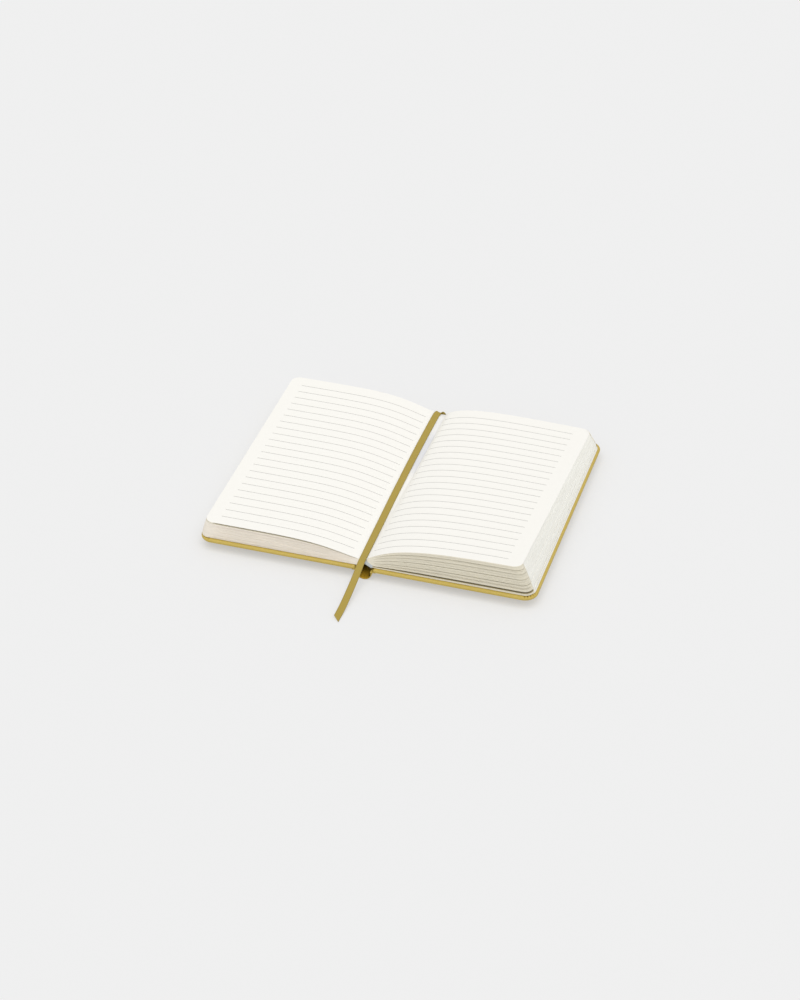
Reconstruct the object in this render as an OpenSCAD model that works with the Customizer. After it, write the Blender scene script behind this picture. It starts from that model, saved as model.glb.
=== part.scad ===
// Pocket notebook with hard covers, lying open near its middle on its own back.
// Millimetres. X runs across the open spread, Y from the tail to the head, Z up.
// The origin is on the surface it lies on, under the middle of the bowed spine.

/* [Covers] */
// Width of each board, from its hinge edge to its fore edge
board_w = 83.9; // [70:0.1:100]
// Height of each board, tail to head
board_h = 144.4; // [130:0.1:170]
// Thickness of a wrapped board
board_t = 2.0; // [1.4:0.1:3]
// Radius of the boards' two outer corners, seen from above
board_corner_r = 7; // [5:0.5:14]

/* [Spine] */
// Outer width of the spine piece when it bows out
spine_w = 8.4; // [7:0.1:12]
// How far the bowed spine hangs below the boards
spine_drop = 4.8; // [4.3:0.1:7]
// Thickness of the spine piece
spine_t = 0.9; // [0.5:0.1:1.4]
// Clearance between the spine piece and a board's hinge edge
hinge_gap = 0.4; // [0.3:0.05:0.8]
// How far the spine's upright sides reach above the boards' underside
spine_lip = 0.5; // [0.2:0.1:0.9]

/* [Page block] */
// Reach of the bottom right leaf from the middle of the spine to the fore edge
leaf_reach = 86.5; // [74:0.1:95]
// How much further the left stack has slid out over its cover
left_slide = 1.4; // [0:0.1:2]
// Height of a leaf, tail to head
leaf_h = 141; // [126:0.5:160]
// Radius of a leaf's two outer corners
leaf_corner_r = 4.5; // [3:0.5:12]
// Height of the left stack over its cover, halfway between tail and head
left_stack = 9.7; // [6:0.1:16]
// How much higher the left stack stands at the head than at the tail
left_tilt = 1.2; // [0:0.1:3]
// Height of the fanned right stack at the tail
right_stack_tail = 15.6; // [8:0.1:20]
// Height of the right stack at the head
right_stack_head = 9.1; // [6:0.1:18]
// How much lower the right page's outer head corner curls
head_droop = 1.6; // [0:0.1:2]
// How far the left stack's top leaf is drawn in from the bottom leaf
left_lean = 2.4; // [0:0.1:4]
// How far the right stack's top leaf is drawn in from the bottom leaf, at the tail
right_lean = 6.5; // [0:0.1:8]
// The same at the head
right_lean_head = 4.5; // [0:0.1:8]
// How far the left stack's top leaf is drawn in at the tail
left_tail_lean = 1.0; // [0:0.1:3]
// How far the right stack's top leaf is drawn in at the tail
right_tail_lean = 1.7; // [0:0.1:3]
// Height of the hollow that the glued back arches over, at the tail
back_arch = 2.4; // [1:0.1:3]
// The same at the head, where the back lies lower
back_arch_head = 1.2; // [0.8:0.1:3]
// How far the gutter lies above the arch of the back
gutter_rise = 0.5; // [0.3:0.1:3]
// Width over which the left page climbs out of the gutter
left_climb = 20.5; // [12:0.5:28]
// Width over which the right page climbs out of the gutter at the tail
right_climb = 16.8; // [12:0.5:28]
// The same at the head, where the page is steeper
right_climb_head = 8; // [6:0.5:28]
// Gaps in the left stack, each [share of its height, half its width, depth in mm]
left_gaps = [[0.05, 0.010, 0.8], [0.24, 0.008, 0.5], [0.43, 0.008, 0.6], [0.62, 0.008, 0.6],
    [0.80, 0.010, 0.7], [0.955, 0.018, 3.0]];
// Gaps in the right stack, each [share of its height, half its width, depth in mm]
right_gaps = [[0.09, 0.034, 4.0], [0.24, 0.010, 0.8], [0.39, 0.022, 2.8], [0.56, 0.016, 2.2],
    [0.74, 0.012, 1.6], [0.92, 0.012, 1.2]];

/* [Lining and endpapers] */
// Thickness of the lining glued across the block's back
lining_t = 0.9; // [0.3:0.1:1.2]
// Thickness of an endpaper pasted inside a cover
paper_t = 0.2; // [0.1:0.05:0.4]
// How far an endpaper stays inside the board's hinge edge and fore edge
paper_inset = 1.3; // [1:0.1:4]
// How much an endpaper falls short of the leaves at the tail and at the head
paper_trim = 0.3; // [0:0.1:1]
// Clearance between the loose leaves and the endpaper they lie on
leaf_gap = 0.1; // [0:0.05:0.3]

/* [Ribbon] */
// Width of the marker ribbon
ribbon_w = 3.6; // [3:0.1:6]
// Thickness of the marker ribbon
ribbon_t = 0.3; // [0.2:0.05:0.5]

/* [Hidden] */
$fn = 64;

cover_gold = "#d6b94a";
paper_cream = "#f7f5ea";
lining_grey = "#c9cacb";
ribbon_gold = "#b5a046";

spine_half = spine_w / 2;
hinge_x = spine_half + hinge_gap;
edge_r = board_t / 2;
board_low = spine_drop;
board_top = board_low + board_t;
block_base = board_top + paper_t + leaf_gap;

// Columns of the page surface between the back and the corner, round a corner, and its rows
flat_columns = 9;
arc_columns = 4;
rows = 10;
columns = 1 + flat_columns + arc_columns;
// The columns crowd towards the gutter, where the paper bends most
column_crowding = 1.5;
// How sharply each page starts to climb, as the power in its curve
left_bend = 1.6;
right_bend = 1.0;
// The stack's lean grows faster near its top
lean_power = 1.2;
// Distance from the back over which the gaps between leaves open
gap_opening = 22;

// A board: a slab with half-round edges and two round outer corners, for the right side
module board_right() {
    slab_w = board_w - board_t;
    slab_h = board_h - board_t;
    corner = board_corner_r - edge_r;
    translate([hinge_x + edge_r, -slab_h / 2, board_low]) {
        cube([slab_w - corner, slab_h, board_t]);
        translate([slab_w - corner, corner, 0]) cube([corner, slab_h - 2 * corner, board_t]);
        for (at_head = [0, 1])
            translate([0, at_head * slab_h, 0]) mirror([0, 1 - at_head, 0]) {
                rotate([90, 0, 90]) linear_extrude(slab_w - corner) half_round();
                translate([slab_w - corner, -corner, 0])
                    rotate_extrude(angle = 90) {
                        square([corner, board_t]);
                        translate([corner, 0]) half_round();
                    }
                rotate([0, 0, 90]) rotate_extrude(angle = 90) half_round();
            }
        translate([slab_w, slab_h - corner, 0]) rotate([90, 0, 0])
            linear_extrude(slab_h - 2 * corner) half_round();
        rotate([90, 0, 180]) linear_extrude(slab_h) half_round();
    }
}

// The section of a board's edge, out from its slab
module half_round() {
    intersection() {
        translate([0, edge_r]) circle(r = edge_r);
        square([edge_r, board_t]);
    }
}

// An endpaper pasted on the right board, with its outer corners round
module endpaper_right() {
    x0 = hinge_x + paper_inset;
    w = board_w - 2 * paper_inset;
    h = leaf_h - 2 * paper_trim;
    r = board_corner_r - paper_inset;
    translate([x0, -h / 2, board_top]) linear_extrude(paper_t) union() {
        square([w - r, h]);
        translate([0, r]) square([w, h - 2 * r]);
        for (y = [r, h - r]) translate([w - r, y]) circle(r = r);
    }
}

module front_cover() {
    color(cover_gold) mirror([1, 0, 0]) board_right();
}

module back_cover() {
    color(cover_gold) board_right();
}

module front_endpaper() {
    color(paper_cream) mirror([1, 0, 0]) endpaper_right();
}

module back_endpaper() {
    color(paper_cream) endpaper_right();
}

// The bowed spine: a half ring with upright sides, open at the tail and the head
module spine_cover() {
    color(cover_gold) translate([0, board_h / 2, 0]) rotate([90, 0, 0])
        linear_extrude(board_h) translate([0, spine_half]) {
            difference() {
                circle(r = spine_half);
                circle(r = spine_half - spine_t);
                translate([-spine_half, 0]) square([spine_w, spine_half]);
            }
            for (x = [-spine_half, spine_half - spine_t])
                translate([x, 0]) square([spine_t, board_low + spine_lip - spine_half]);
        }
}

// The lining: a strip glued across the block's back and bent over its arch. It slopes down
// with the arch towards the head, and its feet end level.
module spine_lining() {
    slope = atan((back_arch - back_arch_head) / leaf_h);
    foot = block_base - lining_t * back_arch / spine_half;
    color(lining_grey) intersection() {
        translate([0, 0, block_base + arch_height(0)]) rotate([90 - slope, 0, 0])
            linear_extrude(2 * leaf_h, center = true) polygon([
                [-spine_half, -back_arch], [0, 0], [spine_half, -back_arch],
                [spine_half, -back_arch - lining_t], [0, -lining_t],
                [-spine_half, -back_arch - lining_t]]);
        translate([-spine_half, -leaf_h / 2, foot])
            cube([spine_w, leaf_h, block_base + back_arch - foot]);
    }
}

// The page block is one skin: a grid of columns and rows on top and one beneath, joined
// by rings that follow the leaves' edges and dip into the gaps between them.

// A value at y that changes evenly from the tail to the head
function between(tail, head, y) = tail + (head - tail) * (y / leaf_h + 0.5);

// Height of a stack over its cover at y; side is 1 on the right and -1 on the left
function stack_height(side, y) = side < 0
    ? between(left_stack - left_tilt / 2, left_stack + left_tilt / 2, y)
    : between(right_stack_tail, right_stack_head, y);

// Height of the hollow that the back arches over, and of the gutter above it, at y
function arch_height(y) = between(back_arch, back_arch_head, y);
function gutter_z(y) = block_base + arch_height(y) + gutter_rise;

// How far a page has climbed from the gutter at distance x, from 0 to 1
function climb(side, x, y) = side < 0 ? 1 - exp(-pow(x / left_climb, left_bend))
    : 1 - exp(-pow(x / between(right_climb, right_climb_head, y), right_bend));

function page_top(side, x, y) = gutter_z(y)
    + (block_base + stack_height(side, y) - gutter_z(y)) * climb(side, x, y)
    - (side > 0 ? between(0, head_droop, y) * pow(x / leaf_reach, 2) : 0);

function page_bottom(x, y) = block_base + arch_height(y) * max(0, 1 - x / spine_half);

function leaf_z(side, x, y, level) = page_bottom(x, y)
    + level * (page_top(side, x, y) - page_bottom(x, y));

// Where the leaves end at the fore edge at y, from the bottom leaf at level 0 to the top one
function fore_edge(side, level, y) = side < 0
    ? leaf_reach + left_slide - left_lean * pow(level, lean_power)
    : leaf_reach - between(right_lean, right_lean_head, y) * pow(level, lean_power);

// The gaps open away from the back
function opening(x) = max(0, min(1, (x - spine_half) / gap_opening));

// Distance of a column from the middle of the spine at y, with its leaf cut back by inset
function column_x(side, i, level, y, inset) =
    let (edge = fore_edge(side, level, y) - inset, centre = edge - leaf_corner_r)
    i == 0 ? 0
    : i <= 1 + flat_columns
        ? spine_half + (centre - spine_half) * pow((i - 1) / flat_columns, column_crowding)
        : centre + leaf_corner_r * sin(90 * (i - 1 - flat_columns) / arc_columns);

// Half the height of the leaf at a column
function column_half(i, inset) = leaf_h / 2 - inset
    - (i <= 1 + flat_columns ? 0
        : leaf_corner_r * (1 - cos(90 * (i - 1 - flat_columns) / arc_columns)));

// A point of the block: column c from -columns to columns, row r, level and inset
function block_point(c, r, level, inset) =
    let (side = c < 0 ? -1 : 1, i = abs(c), row_y = leaf_h * (r / rows - 0.5),
        cut = inset * opening(column_x(side, i, level, row_y, 0)),
        x = column_x(side, i, level, row_y, cut),
        drawn_in = r > 0 ? 0 : level * (side < 0 ? left_tail_lean : right_tail_lean),
        y = column_half(i, cut) * (2 * r / rows - 1) + drawn_in)
    [side * x, y, leaf_z(side, x, y, level)];

// Levels and insets of the rings, bottom to top: three for each gap
function ring_levels(gaps) = concat([[0, 0]],
    [for (g = gaps) each [[g[0] - g[1], 0], [g[0], g[2]], [g[0] + g[1], 0]]], [[1, 0]]);

span = 2 * columns;
around = 2 * (span + rows);

// The ring's stations in order: along the tail, up the right, back along the head, down the left
function station(n) = n <= span ? [n - columns, 0]
    : n <= span + rows ? [columns, n - span]
    : n <= 2 * span + rows ? [columns - (n - span - rows), rows]
    : [-columns, rows - (n - 2 * span - rows)];

// Place of a grid point on the ring, or -1 inside it
function ring_place(c, r) = r == 0 ? c + columns
    : c == columns ? span + r
    : r == rows ? span + rows + columns - c
    : c == -columns ? (2 * span + 2 * rows - r) % around : -1;

module page_block() {
    left_rings = ring_levels(left_gaps);
    right_rings = ring_levels(right_gaps);
    top = len(right_rings) - 1;
    inner = (span - 1) * (rows - 1);
    ring_points = [for (k = [0:top], n = [0:around - 1])
        let (at = station(n), ring = at[0] < 0 ? left_rings[k] : right_rings[k])
        block_point(at[0], at[1], ring[0], ring[1])];
    cap_points = [for (level = [0, 1], c = [1 - columns:columns - 1], r = [1:rows - 1])
        block_point(c, r, level, 0)];
    function cap_index(c, r, cap) = ring_place(c, r) >= 0
        ? cap * top * around + ring_place(c, r)
        : (top + 1) * around + cap * inner + (c + columns - 1) * (rows - 1) + r - 1;
    side_faces = [for (k = [0:top - 1], n = [0:around - 1])
        let (a = k * around + n, b = k * around + (n + 1) % around)
        each [[a, a + around, b + around], [a, b + around, b]]];
    cap_faces = [for (cap = [0, 1], c = [-columns:columns - 1], r = [0:rows - 1])
        let (p = cap_index(c, r, cap), q = cap_index(c + 1, r, cap),
            s = cap_index(c + 1, r + 1, cap), t = cap_index(c, r + 1, cap))
        each cap == 0 ? [[p, q, s], [p, s, t]] : [[p, s, q], [p, t, s]]];
    color(paper_cream)
        polyhedron(points = concat(ring_points, cap_points), faces = concat(side_faces, cap_faces));
}

// The ribbon's route: up behind the block, over its head, down the gutter and to the table.
// Each point is [x, y, z, lean], and the lean turns the ribbon about its own length, in degrees.
ribbon_route = [[0.2, 70.95, 7.2, 0], [-0.5, 71.05, 8.3, 1], [-1.6, 71.0, 9.15, 4],
    [-2.5, 70.45, 9.6, 8], [-3.0, 69.3, 9.65, 11], [-3.3, 66, 9.65, 12], [-3.35, 50, 9.8, 11],
    [-3.3, 35, 9.9, 11], [-3.15, 20, 10.0, 10], [-2.9, 5, 10.1, 10], [-2.65, -10, 10.15, 9],
    [-2.3, -25, 10.2, 8], [-1.9, -40, 10.3, 6], [-1.55, -55, 10.45, 3], [-1.2, -66, 10.65, -2],
    [-1.1, -70.5, 10.75, -4], [-1.1, -72, 10.5, -3], [-1.2, -75, 9.4, 0], [-1.4, -80, 7.4, 4],
    [-1.7, -86, 5.3, 8], [-2.1, -93, 3.1, 11], [-2.4, -99, 1.7, 13], [-2.6, -103, 1.1, 13],
    [-2.8, -107.4, 0.8, 13]];
// How much further the ribbon reaches on the right of its slanting cut
ribbon_cut = 3.4;

function unit(v) = v / norm(v);

// The ribbon's section: a flat strip with eight corners
function ribbon_section() =
    let (w = ribbon_w / 2, t = ribbon_t / 2, c = ribbon_t / 3)
    [[w, c - t], [w, t - c], [w - c, t], [c - w, t], [-w, t - c], [-w, c - t], [c - w, -t],
        [w - c, -t]];

module ribbon() {
    route = [for (p = ribbon_route) [p[0], p[1], p[2]]];
    last = len(route) - 1;
    section = ribbon_section();
    sides = len(section);
    points = [for (n = [0:last])
        let (along = unit(route[min(n + 1, last)] - route[max(n - 1, 0)]),
            flat = unit([-1, 0, 0] + along[0] * along),
            up = cross(flat, along),
            lean = ribbon_route[n][3],
            across = flat * cos(lean) + up * sin(lean),
            out = up * cos(lean) - flat * sin(lean),
            cut = n == last ? ribbon_cut / ribbon_w : 0)
        for (p = section) route[n] + p[0] * across + p[1] * out - cut * p[0] * along];
    faces = concat([[for (k = [0:sides - 1]) k]],
        [[for (k = [0:sides - 1]) last * sides + sides - 1 - k]],
        [for (n = [0:last - 1], k = [0:sides - 1])
            let (a = n * sides + k, b = n * sides + (k + 1) % sides)
            each [[a, a + sides, b], [b, a + sides, b + sides]]]);
    color(ribbon_gold) polyhedron(points = points, faces = faces);
}

front_cover();
back_cover();
front_endpaper();
back_endpaper();
spine_cover();
spine_lining();
page_block();
ribbon();
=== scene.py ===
"""An open pocket notebook: the looks of its covers, spine, leaves and marker ribbon."""
import math
import random

import bpy
from mathutils import Matrix, Vector


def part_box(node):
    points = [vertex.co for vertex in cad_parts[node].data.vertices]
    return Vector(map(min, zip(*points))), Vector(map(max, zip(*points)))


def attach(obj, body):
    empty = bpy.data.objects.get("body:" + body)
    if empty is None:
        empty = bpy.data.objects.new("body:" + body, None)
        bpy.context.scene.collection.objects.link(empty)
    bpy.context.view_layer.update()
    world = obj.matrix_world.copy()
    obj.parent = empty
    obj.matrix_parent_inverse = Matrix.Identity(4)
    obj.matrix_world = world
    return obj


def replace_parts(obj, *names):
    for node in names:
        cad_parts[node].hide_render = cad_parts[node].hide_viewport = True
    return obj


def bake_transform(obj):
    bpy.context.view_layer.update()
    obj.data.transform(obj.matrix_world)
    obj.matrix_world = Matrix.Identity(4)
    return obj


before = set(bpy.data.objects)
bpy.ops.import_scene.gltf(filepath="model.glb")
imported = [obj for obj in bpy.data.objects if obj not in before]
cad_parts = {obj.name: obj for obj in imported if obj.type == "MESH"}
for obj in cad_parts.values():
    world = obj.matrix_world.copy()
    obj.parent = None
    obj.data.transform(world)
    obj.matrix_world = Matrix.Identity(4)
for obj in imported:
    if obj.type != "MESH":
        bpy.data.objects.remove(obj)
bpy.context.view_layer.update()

bl_info = {
    "name": "Open Notebook",
    "version": (1, 0, 0),
    "blender": (4, 5, 0),
    "location": "View3D > Sidebar > Notebook",
    "description": "Makes the covers, spine, leaves and ribbon of an open notebook",
    "category": "Object",
}

MM = 0.001


def box_mm(node):
    """A node's lowest and highest corners in millimetres."""
    return tuple(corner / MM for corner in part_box(node))


# Sizes that the solids give, in millimetres
BLOCK_LOW, BLOCK_HIGH = box_mm("page_block")
BOARD_LOW, BOARD_HIGH = box_mm("back_cover")
SPINE_HIGH = box_mm("spine_cover")[1]
LINING_LOW, LINING_HIGH = box_mm("spine_lining")
BOARD_T = BOARD_HIGH.z - BOARD_LOW.z
EDGE_R = BOARD_T / 2
LEAF_H = BLOCK_HIGH.y - BLOCK_LOW.y
LEAF_REACH = BLOCK_HIGH.x
SPINE_HALF = SPINE_HIGH.x
BLOCK_BASE = BLOCK_LOW.z

# Thickness of the lining and half of the spine piece's, as in the solids, and how far short of
# the tail and the head the covering of the joints ends, all in millimetres
LINING_T = 0.9
SPINE_HALF_T = 0.45
JOINT_SHORTER = 0.3

# The form of the boards' corners and of the leaves, as the solids have it, in millimetres. Only
# the right page's climb at the head is longer here: it lies lower there beside the gutter.
BOARD_CORNER_R = 7.0
LEAF_CORNER_R = 4.5
LEFT_SLIDE = 1.4
LEFT_STACK, LEFT_TILT = 9.7, 1.2
RIGHT_STACK_TAIL, RIGHT_STACK_HEAD = 15.6, 9.1
HEAD_DROOP = 1.6
LEFT_LEAN = 2.4
RIGHT_LEAN, RIGHT_LEAN_HEAD = 6.5, 4.5
LEFT_TAIL_LEAN, RIGHT_TAIL_LEAN = 1.0, 1.7
LEAN_POWER = 1.2
BACK_ARCH, BACK_ARCH_HEAD = 2.4, 1.2
GUTTER_RISE = 0.5
LEFT_CLIMB, LEFT_BEND = 20.5, 1.6
RIGHT_CLIMB, RIGHT_CLIMB_HEAD, RIGHT_BEND = 16.8, 10.5, 1.0
GAP_OPENING = 22.0
# Gaps between the leaves: share of the stack's height, half its width, depth in mm.
# They run deeper here than in the solid, where only their mouths matter.
LEFT_GAPS = ((0.05, 0.010, 1.5), (0.24, 0.006, 0.4), (0.43, 0.006, 0.5), (0.62, 0.006, 0.5),
             (0.80, 0.008, 0.6), (0.94, 0.046, 9.0))
RIGHT_GAPS = ((0.095, 0.028, 12.0), (0.23, 0.006, 0.5), (0.34, 0.015, 7.0), (0.52, 0.011, 6.0),
              (0.72, 0.009, 4.5), (0.86, 0.008, 3.5))
# Left (-1) and right (1): share of a gap's depth that is left along the fore edge, where the
# leaves lie close, and where the gaps begin and finish closing. 0 is the start of the round
# corner at the tail or head, and 1 is its end at the fore edge.
FORE_GAPS = {-1: 0.0, 1: 0.06}
GAP_CLOSING = {-1: (-0.3, 0.0), 1: (0.5, 1.0)}
# Gaps at least this deep on the right get painted shade inside, and a gap keeps this share of
# its width to the bottom
DEEP_GAP = 8.0
GAP_FLOOR = 0.85
# A leaf's edge where it lies close to the next leaf and where the two part: share of its
# thickness that is rounded, and depth of the groove between them in mm
CLOSE_EDGE, PARTED_EDGE = (0.14, 0.16), (0.3, 0.5)
# Left (-1) and right (1): share of the leaves that part from the next one
PARTED = {-1: 0.05, 1: 0.25}
# How far a packet of leaves and each leaf in it may lie in or out, in mm, and the share of that
# which is left along the fore edge
PACKET_SLIDE, LEAF_SHIFT = 0.12, 0.07
FORE_SHIFT = 0.3
# How far the lining and its glue reach up the block's tail and head beside the back
GLUED = 0.9
# Where the right page dips beside the gutter, from the middle of the spine, and how far the
# dip has come at the tail and at the head, where 0 is none of it and 1 all
DIP_START, DIP_END = 1.2, 3.4
DIP_TAIL, DIP_HEAD = -0.1, 1.3
# The cool grey strip beside the ribbon is painted shade in the gutter. In mm: where it fades in
# from the left, out to the right, in from the tail and out to the head, and the share of it that
# is left at the head
STRIP_LEFT, STRIP_RIGHT = (-4.5, -2.5), (1.0, 2.4)
STRIP_TAIL, STRIP_HEAD = (4, 20), (44, 54)
STRIP_LEFT_OVER = 0.45
# The leaves' materials, in their order on the mesh
PAGE, CUT, INK, FORE, GAP, LINING, PRESSED = range(7)

# The ribbon's route: up behind the block, over its head, down the gutter and to the table.
# Each point is x, y, z in mm, and the lean that turns the ribbon about its length, in degrees.
RIBBON_ROUTE = (
    (0.2, 70.95, 7.2, 0), (-0.5, 71.05, 8.3, 1), (-1.6, 71.0, 9.15, 4), (-2.5, 70.45, 9.6, 8),
    (-3.0, 69.3, 9.65, 11), (-3.3, 66, 9.65, 12), (-3.35, 50, 9.8, 11), (-3.3, 35, 9.9, 11),
    (-3.15, 20, 10.0, 10), (-2.9, 5, 10.1, 10), (-2.65, -10, 10.15, 9), (-2.3, -25, 10.2, 8),
    (-1.9, -40, 10.3, 6), (-1.55, -55, 10.45, 3), (-1.2, -66, 10.65, -2),
    (-1.1, -70.5, 10.75, -4), (-1.1, -72, 10.5, -3), (-1.2, -75, 9.4, 0), (-1.4, -80, 7.4, 4),
    (-1.7, -86, 5.3, 8),
    (-2.1, -93, 3.1, 11), (-2.4, -99, 1.7, 13), (-2.6, -103, 1.1, 13), (-2.8, -107.4, 0.8, 13),
)
# Length of the slanting cut, and points of the curve over which it sets in
RIBBON_CUT = 3.4
CUT_POINTS = 8

LEATHERCLOTH = "embossed_polyurethane_leathercloth"
# Depth of a pleat in mm, and half its width as a share of the way to the next one
PLEAT_DEPTH, PLEAT_HALF = 0.6, 0.3
# Directions of the points round the spine's upper edges
LIP_ANGLES = tuple(math.radians(angle) for angle in (30, 60, 90, 120, 150))
# Share of the floor's light that is its own where it is seen
FLOOR_GLOW = 0.5


def linear(hex_colour):
    """An sRGB hex colour as linear red, green, blue and alpha."""
    def channel(text):
        value = int(text, 16) / 255
        return value / 12.92 if value <= 0.04045 else ((value + 0.055) / 1.055) ** 2.4
    digits = hex_colour.lstrip("#")
    return tuple(channel(digits[n:n + 2]) for n in (0, 2, 4)) + (1.0,)


def colour_property(name, description, default):
    """A colour that the user can change."""
    return bpy.props.FloatVectorProperty(
        name=name, description=description, default=linear(default), size=4, min=0, max=1,
        subtype="COLOR")


def length_property(name, description, millimetres):
    """A length that the user can change, given in millimetres."""
    return bpy.props.FloatProperty(
        name=name, description=description, default=millimetres * MM, min=0, precision=5,
        subtype="DISTANCE", unit="LENGTH")


def number_property(name, description, default, **limits):
    """A plain number that the user can change."""
    return bpy.props.FloatProperty(name=name, description=description, default=default, **limits)


class NotebookStage(bpy.types.PropertyGroup):
    """Camera, floor and light."""
    azimuth: number_property("Azimuth", "Camera's turn to the right of the tail side",
                             math.radians(17.08), subtype="ANGLE")
    elevation: number_property("Elevation", "Camera's height above the table",
                               math.radians(35.42), subtype="ANGLE")
    distance: length_property("Distance", "From the camera to the point that it looks at", 1325.4)
    aim: bpy.props.FloatVectorProperty(
        name="Aim", description="Point that the camera looks at",
        default=(-0.00069, -0.0076, 0.0048), subtype="TRANSLATION", unit="LENGTH")
    lens: number_property("Lens", "Focal length of the camera in millimetres", 91.72, min=1)
    floor: colour_property("Floor", "Colour of the floor and the backdrop", "#efefef")
    skylight: number_property("Skylight", "Even light from all round", 0.58, min=0)
    key: number_property("Key light", "Strength of the large soft lamp", 1.45, min=0)


class NotebookCovers(bpy.types.PropertyGroup):
    """Boards, spine and joints."""
    colour: colour_property("Leathercloth", "Colour of the covering", "#c6ad55")
    grain: length_property("Grain", "Size of one pebble of the embossed grain", 0.7)
    pleats: bpy.props.IntProperty(
        name="Pleats", description="Folds of the covering at each outer corner",
        default=5, min=0, max=20)


class NotebookLeaves(bpy.types.PropertyGroup):
    """Leaves, their ruling, the endpapers and the lining."""
    paper: colour_property("Paper", "Colour of the leaves", "#faf8f2")
    # Painted shade: the tail and head edges are darker and warmer than the paper
    edge: colour_property("Tail edge", "Colour of the leaves' cut edges at the tail and the head",
                          "#e8e2d0")
    # Painted light: the fore edge is lighter than the paper
    fore: colour_property("Fore edge", "Colour of the leaves' cut fore edges", "#fefbf1")
    # Painted shade, less than at the other tail edges: the left stack's tail and head
    pressed: colour_property("Pressed edge", "Colour of the left stack's tail and head, where "
                             "the leaves lie close", "#f5ede0")
    # Painted shade for the inside of the right stack's deepest gaps
    shade: colour_property("Gaps", "Colour between leaves that gape wide", "#a99c76")
    ink: colour_property("Ink", "Colour of the ruled lines", "#b6b5b0")
    leaves: bpy.props.IntProperty(
        name="Leaves", description="Leaves that show at each side's edges", default=56,
        min=20, max=90)
    rule_count: bpy.props.IntProperty(
        name="Lines", description="Ruled lines on a page", default=22, min=1, max=40)
    rule_step: length_property("Line spacing", "From one ruled line to the next", 6.0)
    rule_width: length_property("Line width", "Width of a ruled line", 0.32)
    lining: colour_property("Lining", "Colour of the strip across the block's back", "#c6cccf")


class NotebookRibbon(bpy.types.PropertyGroup):
    """The marker ribbon."""
    colour: colour_property("Satin", "Colour of the woven satin", "#b19a46")
    width: length_property("Width", "Width of the ribbon", 3.6)
    thickness: length_property("Thickness", "Thickness of the ribbon at its edges", 0.3)


# Shared tools for meshes and materials

def add(tree, kind, inputs=None, **settings):
    """Add a node, set its properties, and fill its inputs with values or links."""
    node = tree.nodes.new(kind)
    for name, value in settings.items():
        setattr(node, name, value)
    for key, value in (inputs or {}).items():
        if isinstance(value, bpy.types.NodeSocket):
            tree.links.new(value, node.inputs[key])
        else:
            node.inputs[key].default_value = value
    return node


def new_material(name, colour, constants):
    """A material with its constants set on its shader's own sockets."""
    material = bpy.data.materials.new(name)
    material.use_nodes = True
    material.diffuse_color = colour
    tree = material.node_tree
    shader = tree.nodes["Principled BSDF"]
    shader.inputs["Base Color"].default_value = colour
    for socket, value in constants.items():
        shader.inputs[socket].default_value = value
    return material, tree, shader


def scaled(colour, factor):
    """A colour made darker or lighter, and opaque."""
    return tuple(min(1.0, value * factor) for value in colour[:3]) + (1.0,)


def pattern_scale(millimetres):
    """The scale at which one cell of a pattern has this size."""
    return 1 / (millimetres * MM)


def calculate(tree, operation, *values, **settings):
    """The result of an operation on links and numbers."""
    return add(tree, "ShaderNodeMath", dict(enumerate(values)), operation=operation,
               **settings).outputs[0]


def object_place(tree):
    """The place of a point on its object."""
    return add(tree, "ShaderNodeTexCoord").outputs["Object"]


def noise(tree, place, millimetres, detail):
    """A noise with cells of this size."""
    return add(tree, "ShaderNodeTexNoise", {"Vector": place, "Scale": pattern_scale(millimetres),
                                            "Detail": detail}).outputs[0]


def remap(tree, value, start, end, low=0.0, high=1.0, **settings):
    """A number from low to high while the value goes from start to end."""
    return add(tree, "ShaderNodeMapRange", {"Value": value, "From Min": start, "From Max": end,
                                            "To Min": low, "To Max": high}, **settings).outputs[0]


def mixed(tree, share, first, second):
    """The first colour, changed by a share into the second."""
    return add(tree, "ShaderNodeMix", {0: share, 6: first, 7: second},
               data_type="RGBA").outputs[2]


def mottled(tree, share, colour, darkest, lightest):
    """The colour, varied by a pattern between two factors."""
    return mixed(tree, share, scaled(colour, darkest), scaled(colour, lightest))


def paint(tree, shader, colour):
    """Give the shader a colour from other nodes."""
    tree.links.new(colour, shader.inputs["Base Color"])


def dent(tree, shader, height, strength, millimetres, invert=False):
    """Give the shader a relief of this depth."""
    bump = add(tree, "ShaderNodeBump", {"Height": height, "Strength": strength,
                                        "Distance": millimetres * MM}, invert=invert)
    tree.links.new(bump.outputs[0], shader.inputs["Normal"])


def make_piece(name, points, faces, body, materials, slots=None, smooth=None, uvs=None):
    """A mesh piece from points in millimetres, with its materials, riding on a body if one is
    given.
    """
    mesh = bpy.data.meshes.new(name)
    mesh.from_pydata([(x * MM, y * MM, z * MM) for x, y, z in points], [], faces)
    for material in materials:
        mesh.materials.append(material)
    if slots is not None:
        mesh.polygons.foreach_set("material_index", slots)
    if uvs is not None:
        layer = mesh.uv_layers.new(name="length_and_width")
        for loop in mesh.loops:
            layer.data[loop.index].uv = uvs[loop.vertex_index]
    mesh.update()
    if smooth is not None:
        mesh.polygons.foreach_set("use_smooth", [True] * len(mesh.polygons))
        mesh.set_sharp_from_angle(angle=math.radians(smooth))
    piece = bpy.data.objects.new(name, mesh)
    bpy.context.scene.collection.objects.link(piece)
    if body:
        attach(piece, body)
    return piece


def ring_faces(rings, count):
    """Quads between neighbouring closed rings of count points each."""
    return [(ring * count + n, ring * count + (n + 1) % count,
             (ring + 1) * count + (n + 1) % count, (ring + 1) * count + n)
            for ring in range(rings - 1) for n in range(count)]


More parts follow.
